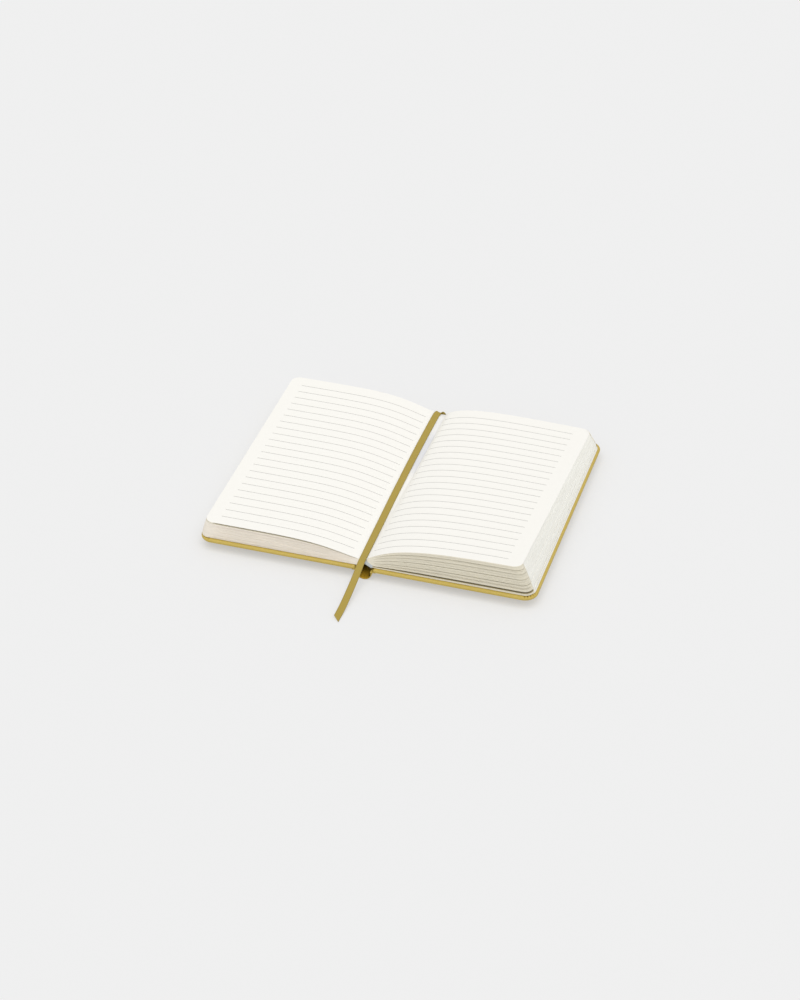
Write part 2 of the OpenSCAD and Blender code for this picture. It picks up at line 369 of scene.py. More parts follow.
def capped_faces(rings, count):
    """Quads between rings as in ring_faces, with a face over the first and the last ring."""
    return ring_faces(rings, count) + [
        tuple(reversed(range(count))), tuple((rings - 1) * count + n for n in range(count))]


def turned(faces):
    """The same faces with their fronts on the other side."""
    return [tuple(reversed(face)) for face in faces]


def evenly(reach, steps):
    """Places from -reach to reach, in equal steps."""
    return [-reach + 2 * reach * n / steps for n in range(steps + 1)]


def smoothstep(value):
    """0 below 0, 1 above 1, and a smooth curve between."""
    value = max(0.0, min(1.0, value))
    return value * value * (3 - 2 * value)


# Stage

class NOTEBOOK_OT_stage(bpy.types.Operator):
    """Make the camera, the floor and the light"""
    bl_idname = "notebook.stage"
    bl_label = "Stage"

    def execute(self, context):
        settings = context.scene.notebook_stage
        self.camera(context, settings)
        self.floor(settings)
        self.light(context, settings)
        context.scene.view_settings.view_transform = "Standard"
        return {"FINISHED"}

    def camera(self, context, settings):
        azimuth, elevation = settings.azimuth, settings.elevation
        back = Vector((math.sin(azimuth) * math.cos(elevation),
                       -math.cos(azimuth) * math.cos(elevation), math.sin(elevation)))
        right = Vector((math.cos(azimuth), math.sin(azimuth), 0))
        up = back.cross(right)
        data = bpy.data.cameras.new("camera")
        data.sensor_fit = "AUTO"
        data.sensor_width = 36
        data.lens = settings.lens
        data.clip_start, data.clip_end = 0.05, 20
        camera = bpy.data.objects.new("camera", data)
        turn = Matrix((right, up, back)).transposed().to_4x4()
        camera.matrix_world = Matrix.Translation(
            Vector(settings.aim) + back * settings.distance) @ turn
        context.scene.collection.objects.link(camera)
        context.scene.camera = camera

    def floor(self, settings):
        reach = 6000
        material, tree, shader = new_material("painted_studio_floor", tuple(settings.floor), {
            "Roughness": 0.9, "Specular IOR Level": 0.0})
        # Where it is seen, the floor is partly a light of its own colour: its shadow stays faint
        glow = add(tree, "ShaderNodeEmission", {"Color": tuple(settings.floor), "Strength": 1.0})
        share = calculate(tree, "MULTIPLY", self.seen(tree), FLOOR_GLOW)
        mix = add(tree, "ShaderNodeMixShader", {0: share, 1: shader.outputs[0],
                                                2: glow.outputs[0]})
        tree.links.new(mix.outputs[0], tree.nodes["Material Output"].inputs["Surface"])
        corners = [(-reach, -reach, 0), (reach, -reach, 0), (reach, reach, 0),
                   (-reach, reach, 0)]
        piece = make_piece("floor", corners, [(0, 1, 2, 3)], None, [material])

    def seen(self, tree):
        """1 for rays that show the background: camera, glossy and transmission rays."""
        path = add(tree, "ShaderNodeLightPath").outputs
        seen = calculate(tree, "MAXIMUM", path["Is Camera Ray"], path["Is Glossy Ray"])
        return calculate(tree, "MAXIMUM", seen, path["Is Transmission Ray"])

    def light(self, context, settings):
        world = bpy.data.worlds.new("studio")
        world.use_nodes = True
        tree = world.node_tree
        tree.nodes.clear()
        sky = add(tree, "ShaderNodeBackground", {"Color": (1, 1, 1, 1),
                                                 "Strength": settings.skylight})
        backdrop = add(tree, "ShaderNodeBackground", {"Color": tuple(settings.floor),
                                                      "Strength": 1.0})
        mix = add(tree, "ShaderNodeMixShader", {0: self.seen(tree), 1: sky.outputs[0],
                                                2: backdrop.outputs[0]})
        add(tree, "ShaderNodeOutputWorld", {"Surface": mix.outputs[0]})
        context.scene.world = world
        lamp = bpy.data.lights.new("large_soft_lamp", "SUN")
        lamp.energy = settings.key
        lamp.angle = math.radians(60)
        sun = bpy.data.objects.new("large_soft_lamp", lamp)
        towards = Vector((0.1, -0.36, 1.0))
        sun.rotation_mode = "QUATERNION"
        sun.rotation_quaternion = towards.to_track_quat("Z", "Y")
        context.scene.collection.objects.link(sun)


# Ribbon

def ribbon_curve(steps):
    """Points and leans on a smooth curve through the ribbon's route."""
    route = [Vector(p) for p in RIBBON_ROUTE]
    route = [2 * route[0] - route[1]] + route + [2 * route[-1] - route[-2]]
    curve = []
    for n in range(1, len(route) - 2):
        before, start, end, after = route[n - 1:n + 3]
        for step in range(steps if n < len(route) - 3 else steps + 1):
            t = step / steps
            curve.append(0.5 * (2 * start + (end - before) * t
                                + (2 * before - 5 * start + 4 * end - after) * t * t
                                + (3 * start - before - 3 * end + after) * t ** 3))
    return [(Vector(p[:3]), math.radians(p[3])) for p in curve]


def satin_material(settings):
    # Polyester satin, woven in fine cross ribs and heat set: a soft sheen along its length, and
    # colour darker towards both edges. Real ribs are 0.2 mm apart; these are faint waves of 3 mm.
    colour = tuple(settings.colour)
    material, tree, shader = new_material("woven_polyester_satin", colour, {
        "Roughness": 0.55, "IOR": 1.5, "Sheen Weight": 0.12, "Sheen Roughness": 0.4,
        "Specular IOR Level": 0.3})
    place = add(tree, "ShaderNodeUVMap", uv_map="length_and_width").outputs[0]
    # A wave repeats after 0.314 of the size that its scale stands for
    ribs = add(tree, "ShaderNodeTexWave", {"Vector": place, "Scale": pattern_scale(10),
                                           "Distortion": 0.6, "Detail": 1.0},
               bands_direction="X").outputs[1]
    threads = noise(tree, place, 0.4, 2.0)
    edge = calculate(tree, "ABSOLUTE", add(tree, "ShaderNodeSeparateXYZ", {0: place}).outputs["Y"])
    selvedge = remap(tree, edge, 0.36 * settings.width, 0.5 * settings.width, 0.0, 0.55)
    tone = calculate(tree, "MULTIPLY", threads, 0.35)
    dark = calculate(tree, "ADD", tone, selvedge, use_clamp=True)
    paint(tree, shader, mixed(tree, dark, colour, scaled(colour, 0.62)))
    dent(tree, shader, ribs, 0.35, 0.03)
    return material


class NOTEBOOK_OT_ribbon(bpy.types.Operator):
    """Make the marker ribbon along its route"""
    bl_idname = "notebook.ribbon"
    bl_label = "Ribbon"

    def execute(self, context):
        settings = context.scene.notebook_ribbon
        width, thickness = settings.width / MM, settings.thickness / MM
        curve = ribbon_curve(10)
        section = self.section(width, thickness)
        points, uvs, run = [], [], 0.0
        last = len(curve) - 1
        for n, (point, lean) in enumerate(curve):
            near, far = curve[max(n - 1, 0)][0], curve[min(n + 1, last)][0]
            along = (far - near).normalized()
            flat = (Vector((-1, 0, 0)) + along[0] * along).normalized()
            up = flat.cross(along)
            across = flat * math.cos(lean) + up * math.sin(lean)
            out = up * math.cos(lean) - flat * math.sin(lean)
            run += (point - near).length
            cut = RIBBON_CUT / width * smoothstep((n - last + CUT_POINTS) / CUT_POINTS)
            for a, b in section:
                points.append(point + a * across + b * out - cut * a * along)
                uvs.append((run * MM, a * MM))
        faces = turned(capped_faces(len(curve), len(section)))
        piece = make_piece("marker_ribbon", points, faces, "book_block",
                           [satin_material(settings)], smooth=40, uvs=uvs)
        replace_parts(piece, "ribbon")
        return {"FINISHED"}

    def section(self, width, thickness):
        """A flat strip with a thicker selvedge along each edge."""
        half, t = width / 2, thickness / 2
        web = 0.72 * t
        side = [(half, -0.4 * t), (half, 0.4 * t), (half - 0.12, t), (half - 0.35, t),
                (half - 0.5, web), (half * 0.4, web)]
        top = side + [(-a, b) for a, b in reversed(side)][:-2]
        return top + [(-a, -b) for a, b in top if (-a, -b) not in top]


# Covers

def leathercloth_material(settings):
    # Polyurethane leathercloth, calendered with a fine pebble grain: matt, even and a little
    # soft, with light catching on the turned edges. Real grain is 0.3 mm across; the setting's
    # 0.7 mm shows better.
    colour = tuple(settings.colour)
    material, tree, shader = new_material(LEATHERCLOTH, colour, {
        "Roughness": 0.52, "IOR": 1.5, "Specular IOR Level": 0.4})
    place = object_place(tree)
    pebbles = add(tree, "ShaderNodeTexVoronoi", {"Vector": place, "Scale": 1 / settings.grain},
                  feature="SMOOTH_F1").outputs["Distance"]
    tint = mottled(tree, noise(tree, place, 14, 3.0), colour, 0.95, 1.05)
    # Painted shade: darker in the hollows between the grain's pebbles
    grain_hollow_shade = remap(tree, pebbles, 0.25, 0.75, 0.0, 0.22)
    paint(tree, shader, mixed(tree, grain_hollow_shade, tint, scaled(colour, 0.66)))
    height = calculate(tree, "MULTIPLY_ADD", noise(tree, place, 0.25, 3.0), 0.4, pebbles)
    dent(tree, shader, height, 0.5, 0.05, invert=True)
    return material


def leathercloth(settings):
    """The covering's material, made by the first operator that needs it."""
    return bpy.data.materials.get(LEATHERCLOTH) or leathercloth_material(settings)


def turned_in_material(settings):
    # The same leathercloth where it is turned in under the lining, with painted shade: lit gold
    # low in the spine's hollow, darkening to olive black higher up towards the lining.
    material, tree, shader = new_material("turned_in_leathercloth_painted_shade", tuple(settings.colour), {
        "Roughness": 0.7, "IOR": 1.5, "Specular IOR Level": 0.2})
    place = object_place(tree)
    height = add(tree, "ShaderNodeSeparateXYZ", {0: place}).outputs["Z"]
    level = calculate(tree, "MULTIPLY_ADD", noise(tree, place, 3, 2.0), 0.8 * MM, height)
    # Painted shade, darker with height in the hollow
    hollow_shade = remap(tree, level, 1.4 * MM, 3.4 * MM)
    paint(tree, shader, mixed(tree, hollow_shade, linear("#bd9524"), linear("#1e1e04")))
    return material


def board_outline(side, inset, corner_steps):
    """The board's outline seen from above, with its two outer corners round."""
    inner = BOARD_LOW.x + inset
    outer = BOARD_HIGH.x - inset
    half = BOARD_HIGH.y - inset
    radius = max(0.4, BOARD_CORNER_R - inset)
    small, small_steps = max(0.15, 1.0 - inset), 6
    outline = []
    for x, y, r, start in ((outer, -half, radius, -90), (outer, half, radius, 0),
                           (inner, half, small, 90), (inner, -half, small, 180)):
        steps = corner_steps if start in (-90, 0) else small_steps
        centre_x = x - r if start in (-90, 0) else x + r
        centre_y = y + r if y < 0 else y - r
        for n in range(steps + 1):
            angle = math.radians(start + 90 * n / steps)
            outline.append((side * (centre_x + r * math.cos(angle)),
                            centre_y + r * math.sin(angle), start, n / steps))
    return outline


class NOTEBOOK_OT_covers(bpy.types.Operator):
    """Make the two boards in their leathercloth, with pleats turned in at the corners"""
    bl_idname = "notebook.covers"
    bl_label = "Covers"

    def execute(self, context):
        settings = context.scene.notebook_covers
        material = leathercloth(settings)
        for side, node, body in ((-1, "front_cover", "front_board"),
                                 (1, "back_cover", "back_board")):
            piece = self.board(side, node, body, material, settings.pleats)
            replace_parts(piece, node)
        return {"FINISHED"}

    def board(self, side, node, body, material, pleats):
        """A board's covering, from under its edge round to the face inside."""
        corner_steps = 96
        edge_steps, first_folded = 12, 7
        low, high = BOARD_LOW.z, BOARD_HIGH.z
        # Each ring's inset, its height, and how deep the pleats are in it, from 0 to 1
        profile = [(6.0, low, 0), (EDGE_R + 0.6, low, 0)]
        for n in range(edge_steps + 1):
            angle = math.radians(180 * n / edge_steps)
            profile.append((EDGE_R * (1 - math.sin(angle)), low + EDGE_R * (1 - math.cos(angle)),
                            max(0, (n - first_folded) / (edge_steps - first_folded))))
        profile += [(EDGE_R + 0.12, high, 1), (EDGE_R + 0.3, high, 1), (1.7, high, 1),
                    (2.5, high, 1), (8.0, high, 0)]
        points = []
        for inset, z, fold in profile:
            for x, y, corner, share in board_outline(side, inset, corner_steps):
                depth = 0
                if corner in (-90, 0) and fold:
                    depth = self.pleat_depth(share, pleats) * fold
                points.append((x, y, z - depth))
        faces = capped_faces(len(profile), len(points) // len(profile))
        if side < 0:
            faces = turned(faces)
        return make_piece(node + "_board", points, faces, body, [material], smooth=50)

    def pleat_depth(self, share, pleats):
        """How deep the covering dips at a share of the way round a corner, in mm."""
        place = share * (pleats + 1)
        if round(place) in (0, pleats + 1):
            return 0
        return PLEAT_DEPTH * max(0, 1 - abs(place - round(place)) / PLEAT_HALF)


# Spine and joints

def spine_section(offset):
    """The spine's section, from its left lip round to its right one, offset outwards."""
    radius = SPINE_HALF - SPINE_HALF_T + offset
    lip = SPINE_HIGH.z - SPINE_HALF_T
    angles = [math.radians(a) for a in range(0, 181, 10)]
    bow = [(-radius * math.cos(a), SPINE_HALF - radius * math.sin(a)) for a in angles]
    return [(-radius, lip)] + bow + [(radius, lip)]


class NOTEBOOK_OT_spine(bpy.types.Operator):
    """Make the bowed spine, the joints beside it and the lining over it"""
    bl_idname = "notebook.spine"
    bl_label = "Spine"

    def execute(self, context):
        covers = context.scene.notebook_covers
        material = leathercloth(covers)
        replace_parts(self.shell(material, turned_in_material(covers)), "spine_cover")
        for side, board in ((-1, "front_board"), (1, "back_board")):
            self.joint(side, board, material)
        lining = crepe_material(context.scene.notebook_leaves)
        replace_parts(self.lining(lining), "spine_lining")
        return {"FINISHED"}

    def shell(self, material, inside):
        """The bowed spine piece, its covering turned in round every edge."""
        half_t, reach, end_steps = SPINE_HALF_T, SPINE_HIGH.y, 6
        # Places along the spine, each with the share of the thickness that it has there
        stations = [(-reach + 20, 1), (-reach + 50, 1), (0, 1), (reach - 50, 1), (reach - 20, 1)]
        for end in (-1, 1):
            for n in range(end_steps + 1):
                angle = math.radians(90 * n / end_steps)
                stations.append((end * (reach - half_t + half_t * math.sin(angle)),
                                 math.cos(angle)))
        stations.sort()
        points = []
        for y, share in stations:
            outer = spine_section(half_t * share)
            inner = spine_section(-half_t * share)
            loop = outer + self.lip(1, half_t * share) + inner[::-1] + self.lip(-1, half_t * share)
            points += [(x, y, z) for x, z in loop]
        count = len(points) // len(stations)
        faces = turned(ring_faces(len(stations), count))
        # The inner face comes after the outer one and a lip
        first = len(outer) + len(LIP_ANGLES)
        slots = [1 if first <= n % count < first + len(inner) - 1 else 0
                 for n in range(len(faces))]
        return make_piece("spine_shell", points, faces, "book_block",
                          [material, inside], slots=slots, smooth=50)

    def lip(self, side, half_t):
        """The rounded upper edge of the spine piece on one side."""
        centre, top = side * (SPINE_HALF - SPINE_HALF_T), SPINE_HIGH.z - SPINE_HALF_T
        return [(centre + half_t * math.cos(a), top + half_t * math.sin(a)) for a in LIP_ANGLES]

    def joint(self, side, board, material):
        """The covering where it crosses from the spine to a board."""
        low, inner = BOARD_LOW.z, BOARD_LOW.x
        # Points of its outer face from the spine to the board, and from each to its inner face
        outer = [(SPINE_HALF - 0.12, 3.3), (SPINE_HALF + 0.02, 3.9), (SPINE_HALF + 0.1, 4.3),
                 (inner - 0.05, low - 0.22), (inner + 0.35, low - 0.1), (inner + 0.9, low - 0.04),
                 (inner + 1.6, low - 0.02)]
        thick = [(-0.3, 0.0), (-0.3, 0.1), (-0.2, 0.6), (0.05, 0.9), (0, 0.6), (0, 0.22),
                 (0, 0.15)]
        inside = [(x + dx, z + dz) for (x, z), (dx, dz) in zip(outer, thick)]
        loop = outer + inside[::-1]
        rows = evenly(SPINE_HIGH.y - JOINT_SHORTER, 24)
        points = [(side * x, y, z) for y in rows for x, z in loop]
        faces = capped_faces(len(rows), len(loop))
        if side > 0:
            faces = turned(faces)
        piece = make_piece(board + "_joint", points, faces, None, [material], smooth=50)
        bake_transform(piece)

    def lining(self, material):
        """The strip glued across the block's back, in two folded layers."""
        slope = BACK_ARCH / SPINE_HALF
        foot = LINING_LOW.z
        rows = evenly(LINING_HIGH.y, 40)
        points = []
        for y in rows:
            peak = BLOCK_BASE + arch_height(y)
            reach = min(SPINE_HALF, (peak - foot) / slope)
            inner = (peak - LINING_T - foot) / slope
            points += [(reach * n / 8, y, peak - slope * abs(reach * n / 8))
                       for n in range(-8, 9)]
            points += [(inner * n / 8, y, peak - LINING_T - slope * abs(inner * n / 8))
                       for n in range(8, -9, -1)]
        return make_piece("back_lining", points, capped_faces(len(rows), len(points) // len(rows)),
                          "book_block", [material], smooth=30)


def crepe_material(settings):
    # White crepe lining paper, glued over gauze: a dull surface with faint cross wrinkles
    colour = tuple(settings.lining)
    material, tree, shader = new_material("glued_crepe_lining_paper", colour, {
        "Roughness": 0.85, "IOR": 1.45, "Specular IOR Level": 0.2})
    wrinkles = noise(tree, object_place(tree), 0.8, 3.0)
    # Painted shade: darker where the wrinkles sink
    paint(tree, shader, mottled(tree, wrinkles, colour, 0.86, 1.05))
    dent(tree, shader, wrinkles, 0.5, 0.06)
    return material


# Leaves

def between(tail, head, y):
    """A value at y that changes evenly from the tail to the head."""
    return tail + (head - tail) * (y / LEAF_H + 0.5)


def stack_height(side, y):
    """Height of a stack over its cover at y."""
    if side < 0:
        return between(LEFT_STACK - LEFT_TILT / 2, LEFT_STACK + LEFT_TILT / 2, y)
    return between(RIGHT_STACK_TAIL, RIGHT_STACK_HEAD, y)


def arch_height(y):
    """Height of the hollow that the block's back arches over."""
    return between(BACK_ARCH, BACK_ARCH_HEAD, y)


def gutter_z(y):
    """Height of the gutter."""
    return BLOCK_BASE + arch_height(y) + GUTTER_RISE


def climb(side, x, y):
    """How far a page has climbed from the gutter at distance x, from 0 to 1."""
    if side < 0:
        return 1 - math.exp(-(x / LEFT_CLIMB) ** LEFT_BEND)
    return 1 - math.exp(-(x / between(RIGHT_CLIMB, RIGHT_CLIMB_HEAD, y)) ** RIGHT_BEND)


def dipped(x, y):
    """Distance from the spine at which the right page has the height that it has at x.

    Beside the gutter the page stays flat, then climbs steeply, most of all at the head.
    """
    if x >= DIP_END:
        return x
    steep = max(0.0, x - DIP_START) * DIP_END / (DIP_END - DIP_START)
    share = smoothstep(between(DIP_TAIL, DIP_HEAD, y))
    return x + (steep - x) * share


def page_top(side, x, y):
    """Height of the open page."""
    at = dipped(x, y) if side > 0 else x
    height = gutter_z(y) + (BLOCK_BASE + stack_height(side, y) - gutter_z(y)) * climb(side, at, y)
    if side > 0:
        height -= between(0, HEAD_DROOP, y) * (x / LEAF_REACH) ** 2
    return height


def page_bottom(x, y):
    """Height of the block's underside, arched over its back."""
    return BLOCK_BASE + arch_height(y) * max(0, 1 - x / SPINE_HALF)


def leaf_z(side, x, y, level):
    """Height of the leaf at a level, from 0 at the bottom to 1 at the open page."""
    return page_bottom(x, y) + level * (page_top(side, x, y) - page_bottom(x, y))


def fore_edge(side, level, y):
    """Where the leaf at a level ends at the fore edge."""
    if side < 0:
        return LEAF_REACH + LEFT_SLIDE - LEFT_LEAN * level ** LEAN_POWER
    return LEAF_REACH - between(RIGHT_LEAN, RIGHT_LEAN_HEAD, y) * level ** LEAN_POWER


def opening(x):
    """How far the gaps have opened at distance x from the back, from 0 to 1."""
    return max(0.0, min(1.0, (x - SPINE_HALF) / GAP_OPENING))


# Columns of points across a stack: over the back in mm, then the straight part of the leaves,
# where they crowd towards the back, then the round corner
BACK_COLUMNS = (0.0, 0.6, 1.0, 1.4, 1.8, 2.3, 2.9, 3.4, SPINE_HALF)
FLAT_COLUMNS = 24
ARC_COLUMNS = 10
COLUMN_CROWDING = 1.5
COLUMNS = len(BACK_COLUMNS) - 1 + FLAT_COLUMNS + ARC_COLUMNS
# Where the ruled lines start and end at the tail, from the middle of the spine
RULE_ENDS = {-1: (7.7, 78.5), 1: (2.9, 72.1)}
# The rows nearest to the page's tail and head
END_ROW = 0.955


def side_of(column):
    """-1 for a column of the left stack, and 1 for one of the right stack."""
    return -1 if column < 0 else 1


def flat_shares(side):
    """Shares of the way from the back to the round corner, with a column at each rule's end."""
    centre = fore_edge(side, 1, -LEAF_H / 2) - LEAF_CORNER_R
    shares = [(n / FLAT_COLUMNS) ** COLUMN_CROWDING for n in range(FLAT_COLUMNS + 1)]
    for end in RULE_ENDS[side]:
        share = (end - SPINE_HALF) / (centre - SPINE_HALF)
        if 0 < share < 1:
            nearest = min(range(1, FLAT_COLUMNS), key=lambda n: abs(shares[n] - share))
            shares[nearest] = share
    return shares


SHARES = {side: flat_shares(side) for side in (-1, 1)}


def column_x(side, column, level, y, inset):
    """Distance of a column from the middle of the spine, with its leaf cut back by inset."""
    if column < len(BACK_COLUMNS) - 1:
        return BACK_COLUMNS[column]
    centre = fore_edge(side, level, y) - inset - LEAF_CORNER_R
    flat = column - len(BACK_COLUMNS) + 1
    if flat <= FLAT_COLUMNS:
        return SPINE_HALF + (centre - SPINE_HALF) * SHARES[side][flat]
    turn = math.radians(90 * (flat - FLAT_COLUMNS) / ARC_COLUMNS)
    return centre + LEAF_CORNER_R * math.sin(turn)


def column_half(column, inset):
    """Half the height of the leaf at a column."""
    half = LEAF_H / 2 - inset
    flat = column - len(BACK_COLUMNS) + 1
    if flat > FLAT_COLUMNS:
        turn = math.radians(90 * (flat - FLAT_COLUMNS) / ARC_COLUMNS)
        half -= LEAF_CORNER_R * (1 - math.cos(turn))
    return half


def row_shares(settings):
    """Rows across the page, from -1 at the tail to 1 at the head, and which bands are ruled."""
    step, width = settings.rule_step / MM, settings.rule_width / MM
    rows, ruled = [-1.0, -END_ROW], []
    first = -step * (settings.rule_count - 1) / 2
    for n in range(settings.rule_count):
        y = first + n * step
        ruled.append(len(rows))
        rows += [(y - width / 2) / (LEAF_H / 2), (y + width / 2) / (LEAF_H / 2)]
        if n < settings.rule_count - 1:
            rows.append((y + step / 2) / (LEAF_H / 2))
    return rows + [END_ROW, 1.0], set(ruled)


def leaf_rings(gaps, packets, parted, randomness):
    """Rings up a stack's side: the level of each, its inset and its leaf's shift in mm.

    Packets has the number of leaves before, between and after the gaps. Parted is the share of
    the leaves that stand a little apart from the next one.
    """
    rings = []
    edges = [0.0] + [edge for centre, half, depth in gaps
                     for edge in (centre - half, centre + half)] + [1.0]
    for packet, count in enumerate(packets):
        low, high = edges[2 * packet], edges[2 * packet + 1]
        pitch = (high - low) / count
        slide = randomness.uniform(-PACKET_SLIDE, PACKET_SLIDE)
        for leaf in range(count):
            shift = slide + randomness.uniform(-LEAF_SHIFT, LEAF_SHIFT)
            start = low + pitch * leaf
            rounding, groove = PARTED_EDGE if randomness.random() < parted else CLOSE_EDGE
            rings.append((start + rounding * pitch, 0.0, shift))
            rings.append((start + (1 - rounding) * pitch, 0.0, shift))
            if leaf < count - 1:
                rings.append((start + pitch, groove, shift))
        if packet < len(gaps):
            centre, half, depth = gaps[packet]
            rings.append((centre - GAP_FLOOR * half, depth, 0.0))
            rings.append((centre + GAP_FLOOR * half, depth, 0.0))
    rings[0] = (0.0, 0.0, rings[0][2])
    rings[-1] = (1.0, 0.0, 0.0)
    return rings


def packet_counts(leaves):
    """Leaves in each packet between the gaps, the same on both sides."""
    counts = []
    for packet in range(len(LEFT_GAPS) + 1):
        share = 0
        for gaps in (LEFT_GAPS, RIGHT_GAPS):
            low = gaps[packet - 1][0] + gaps[packet - 1][1] if packet else 0
            high = gaps[packet][0] - gaps[packet][1] if packet < len(gaps) else 1
            share += (high - low) / 2
        counts.append(max(2, round(leaves * share)))
    return counts


def wove_material(settings):
    # Uncoated wove paper, machine finished: dull, with a faint cloudy formation and no gloss.
    # Real fibres are 0.03 mm; the bump is drawn at 0.2 mm.
    colour = tuple(settings.paper)
    material, tree, shader = new_material("machine_finished_wove_paper", colour, {
        "Roughness": 0.9, "IOR": 1.45, "Specular IOR Level": 0.15})
    place = object_place(tree)
    tint = mottled(tree, noise(tree, place, 2.5, 4.0), colour, 0.985, 1.01)
    # Painted shade: a cool grey strip beside the ribbon, where the gutter lies in shade. A
    # cool grey strip beside the ribbon, perhaps where the sewing pulls the leaf's fold down.
    # It is strongest halfway up the head half of the pages.
    axes = add(tree, "ShaderNodeSeparateXYZ", {0: place}).outputs
    strip = 1.0
    for axis, (start, end), low, high in (("X", STRIP_LEFT, 0, 1), ("X", STRIP_RIGHT, 1, 0),
                                          ("Y", STRIP_TAIL, 0, 1),
                                          ("Y", STRIP_HEAD, 1, STRIP_LEFT_OVER)):
        strip = calculate(tree, "MULTIPLY", strip, remap(
            tree, axes[axis], start * MM, end * MM, low, high, interpolation_type="SMOOTHSTEP"))
    # The strip's painted shade goes into the paper's colour
    paint(tree, shader, mixed(tree, strip, tint, linear("#e3e3e5")))
    dent(tree, shader, noise(tree, place, 0.2, 2.0), 0.12, 0.02)
    return material


def cut_edge_material(name, colour):
    # The same paper, guillotined: the edges lie in fine streaks. Its colours hold painted light
    # and
    # shade: darker and warmer at the tail and head for painted shade between the leaves, less so
    # where the leaves are pressed together, darkest in gaps that gape, and lighter than the paper
    # at the fore edge as painted light.
    material, tree, shader = new_material(name, colour, {
        "Roughness": 0.95, "IOR": 1.45, "Specular IOR Level": 0.1})
    place = add(tree, "ShaderNodeMapping", {"Vector": object_place(tree),
                                            "Scale": (0.04, 0.04, 1.0)}).outputs[0]
    paint(tree, shader, mottled(tree, noise(tree, place, 0.5, 4.0), colour, 0.88, 1.08))
    return material


def ink_material(settings):
    # Offset-printed grey lines: a thin dull film that takes the paper's texture
    colour = tuple(settings.ink)
    material, tree, shader = new_material("offset_printed_grey_ink", colour, {
        "Roughness": 0.85, "IOR": 1.5, "Specular IOR Level": 0.2})
    speckle = noise(tree, object_place(tree), 0.6, 2.0)
    paint(tree, shader, mottled(tree, speckle, colour, 0.93, 1.07))
    return material


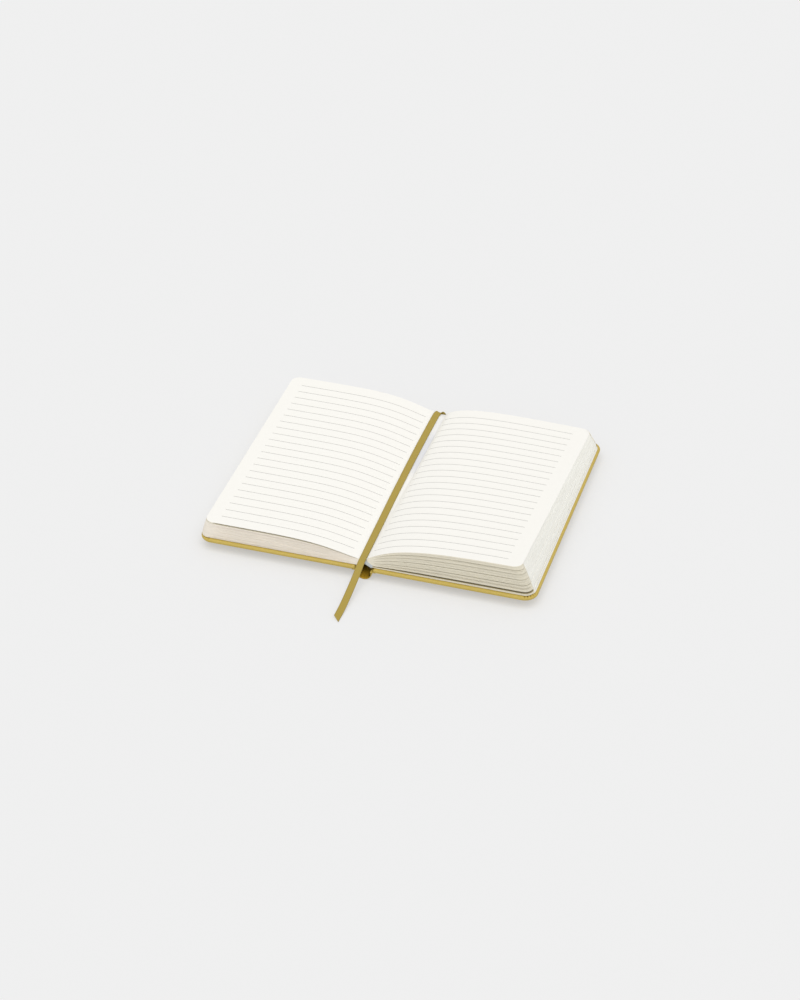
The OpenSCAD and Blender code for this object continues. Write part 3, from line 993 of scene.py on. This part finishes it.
class NOTEBOOK_OT_leaves(bpy.types.Operator):
    """Make the two stacks of leaves as one skin, with the ruled pages open on top"""
    bl_idname = "notebook.leaves"
    bl_label = "Leaves"

    def execute(self, context):
        settings = context.scene.notebook_leaves
        # In the order of PAGE, CUT, INK, FORE, GAP, LINING and PRESSED
        materials = [
            wove_material(settings),
            # The cut edges' colours hold painted light and shade
            cut_edge_material("guillotined_wove_paper", tuple(settings.edge)),
            ink_material(settings),
            cut_edge_material("guillotined_wove_paper_fore_edge_painted_light", tuple(settings.fore)),
            cut_edge_material("guillotined_wove_paper_painted_gap_shade", tuple(settings.shade)),
            crepe_material(settings),
            cut_edge_material("guillotined_wove_paper_pressed_painted_shade", tuple(settings.pressed))]
        rows, ruled = row_shares(settings)
        counts = packet_counts(settings.leaves)
        randomness = random.Random(7)
        rings = {-1: leaf_rings(LEFT_GAPS, counts, PARTED[-1], randomness),
                 1: leaf_rings(RIGHT_GAPS, counts, PARTED[1], randomness)}
        last = len(rows) - 1
        points, faces, slots = [], [], []

        stations = ([(c, 0) for c in range(-COLUMNS, COLUMNS)]
                    + [(COLUMNS, r) for r in range(last)]
                    + [(c, last) for c in range(COLUMNS, -COLUMNS, -1)]
                    + [(-COLUMNS, r) for r in range(last, 0, -1)])
        place = {station: n for n, station in enumerate(stations)}
        around = len(stations)
        top = len(rings[1]) - 1
        for k in range(top + 1):
            points += [self.point(c, rows[r], *rings[side_of(c)][k]) for c, r in stations]
        for k in range(top):
            for n in range(around):
                a, b = k * around + n, k * around + (n + 1) % around
                faces.append((a, b, b + around, a + around))
                column, row = stations[n]
                slots.append(self.edge_slot(column, rows[row], rings, k))

        inner = {}
        for cap, level in ((0, 0.0), (1, 1.0)):
            for c in range(1 - COLUMNS, COLUMNS):
                for r in range(1, last):
                    inner[cap, c, r] = len(points)
                    points.append(self.point(c, rows[r], level, 0, 0))

        def index(cap, c, r):
            if (c, r) in place:
                return cap * top * around + place[c, r]
            return inner[cap, c, r]

        for cap in (0, 1):
            for c in range(-COLUMNS, COLUMNS):
                for r in range(last):
                    face = (index(cap, c, r), index(cap, c + 1, r),
                            index(cap, c + 1, r + 1), index(cap, c, r + 1))
                    faces.append(face if cap else tuple(reversed(face)))
                    slots.append(INK if cap and r in ruled and self.inked(c) else PAGE)
        piece = make_piece("leaves", points, faces, "book_block", materials,
                           slots=slots, smooth=38)
        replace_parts(piece, "page_block")
        return {"FINISHED"}

    def point(self, column, share, level, inset, shift):
        """A point of the block, with its leaf cut back by inset and slid by shift."""
        side, column = side_of(column), abs(column)
        row_y = share * LEAF_H / 2
        turn = (column - COLUMNS + ARC_COLUMNS) / ARC_COLUMNS
        start, end = GAP_CLOSING[side]
        shown = 1 - (1 - FORE_GAPS[side]) * smoothstep((turn - start) / (end - start))
        cut = (inset * shown + shift * (FORE_SHIFT + (1 - FORE_SHIFT) * shown)) * opening(
            column_x(side, column, level, row_y, 0))
        x = column_x(side, column, level, row_y, cut)
        y = column_half(column, cut) * share
        if share == -1:
            y += level * (LEFT_TAIL_LEAN if side < 0 else RIGHT_TAIL_LEAN)
        return side * x, y, leaf_z(side, x, y, level)

    def edge_slot(self, column, share, rings, k):
        """The material between two rings at a column and a share of the leaf's height."""
        side = side_of(column)
        level, inset = max(rings[side][k], rings[side][k + 1], key=lambda ring: ring[1])[:2]
        if abs(column) < len(BACK_COLUMNS) - 1:
            x, y = BACK_COLUMNS[abs(column)], share * LEAF_H / 2
            if leaf_z(side, x, y, level) - page_bottom(x, y) < GLUED:
                return LINING
        if abs(column) == COLUMNS:
            return FORE
        # Deep gaps on the right get the painted shade
        if inset >= DEEP_GAP:
            return GAP if side > 0 else CUT
        return CUT if side > 0 else PRESSED

    def inked(self, column):
        """Whether the band from this column to the next is within the ruled lines' ends."""
        side = side_of(column)
        near, far = sorted((abs(column), abs(column + 1)))
        start, end = RULE_ENDS[side]
        tolerance = 0.3
        tail = -LEAF_H / 2
        return (column_x(side, near, 1, tail, 0) > start - tolerance
                and column_x(side, far, 1, tail, 0) < end + tolerance)


class NOTEBOOK_OT_endpapers(bpy.types.Operator):
    """Finish the endpapers pasted inside the boards"""
    bl_idname = "notebook.endpapers"
    bl_label = "Endpapers"

    def execute(self, context):
        material = endpaper_material(context.scene.notebook_leaves)
        for name in ("front_endpaper", "back_endpaper"):
            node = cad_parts.get(name)
            if node is None:
                raise RuntimeError("the frame has no node " + name)
            node.data.materials.clear()
            node.data.materials.append(material)
        return {"FINISHED"}


def endpaper_material(settings):
    # Heavy uncoated endpaper, pasted down: a little greyer than the leaves, with a slight tooth
    colour = scaled(settings.paper, 0.84)
    material, tree, shader = new_material("pasted_uncoated_endpaper", colour, {
        "Roughness": 0.85, "IOR": 1.45, "Specular IOR Level": 0.2})
    tooth = noise(tree, object_place(tree), 0.4, 3.0)
    # Painted shade: a little darker where the tooth sinks
    paint(tree, shader, mottled(tree, tooth, colour, 0.97, 1.01))
    dent(tree, shader, tooth, 0.2, 0.03)
    return material


class NOTEBOOK_PT_panel(bpy.types.Panel):
    """Lists the notebook's settings and pieces"""
    bl_idname = "NOTEBOOK_PT_panel"
    bl_label = "Notebook"
    bl_space_type = "VIEW_3D"
    bl_region_type = "UI"
    bl_category = "Notebook"

    def draw(self, context):
        scene = context.scene
        for group, operators in (
                (scene.notebook_stage, ("notebook.stage",)),
                (scene.notebook_ribbon, ("notebook.ribbon",)),
                (scene.notebook_covers, ("notebook.covers", "notebook.spine")),
                (scene.notebook_leaves, ("notebook.leaves", "notebook.endpapers"))):
            column = self.layout.column()
            for name in group.bl_rna.properties.keys():
                if name not in ("rna_type", "name"):
                    column.prop(group, name)
            for operator in operators:
                column.operator(operator)
            self.layout.separator()


GROUPS = {"notebook_stage": NotebookStage, "notebook_covers": NotebookCovers,
          "notebook_leaves": NotebookLeaves, "notebook_ribbon": NotebookRibbon}
CLASSES = (*GROUPS.values(), NOTEBOOK_OT_stage, NOTEBOOK_OT_ribbon, NOTEBOOK_OT_covers,
           NOTEBOOK_OT_spine, NOTEBOOK_OT_leaves, NOTEBOOK_OT_endpapers, NOTEBOOK_PT_panel)


def register():
    for cls in CLASSES:
        bpy.utils.register_class(cls)
    for name, group in GROUPS.items():
        setattr(bpy.types.Scene, name, bpy.props.PointerProperty(type=group))


def unregister():
    for name in GROUPS:
        delattr(bpy.types.Scene, name)
    for cls in reversed(CLASSES):
        bpy.utils.unregister_class(cls)


def main():
    register()
    bpy.ops.notebook.stage()
    bpy.ops.notebook.ribbon()
    bpy.ops.notebook.covers()
    bpy.ops.notebook.spine()
    bpy.ops.notebook.leaves()
    bpy.ops.notebook.endpapers()


if __name__ == "__main__":
    main()
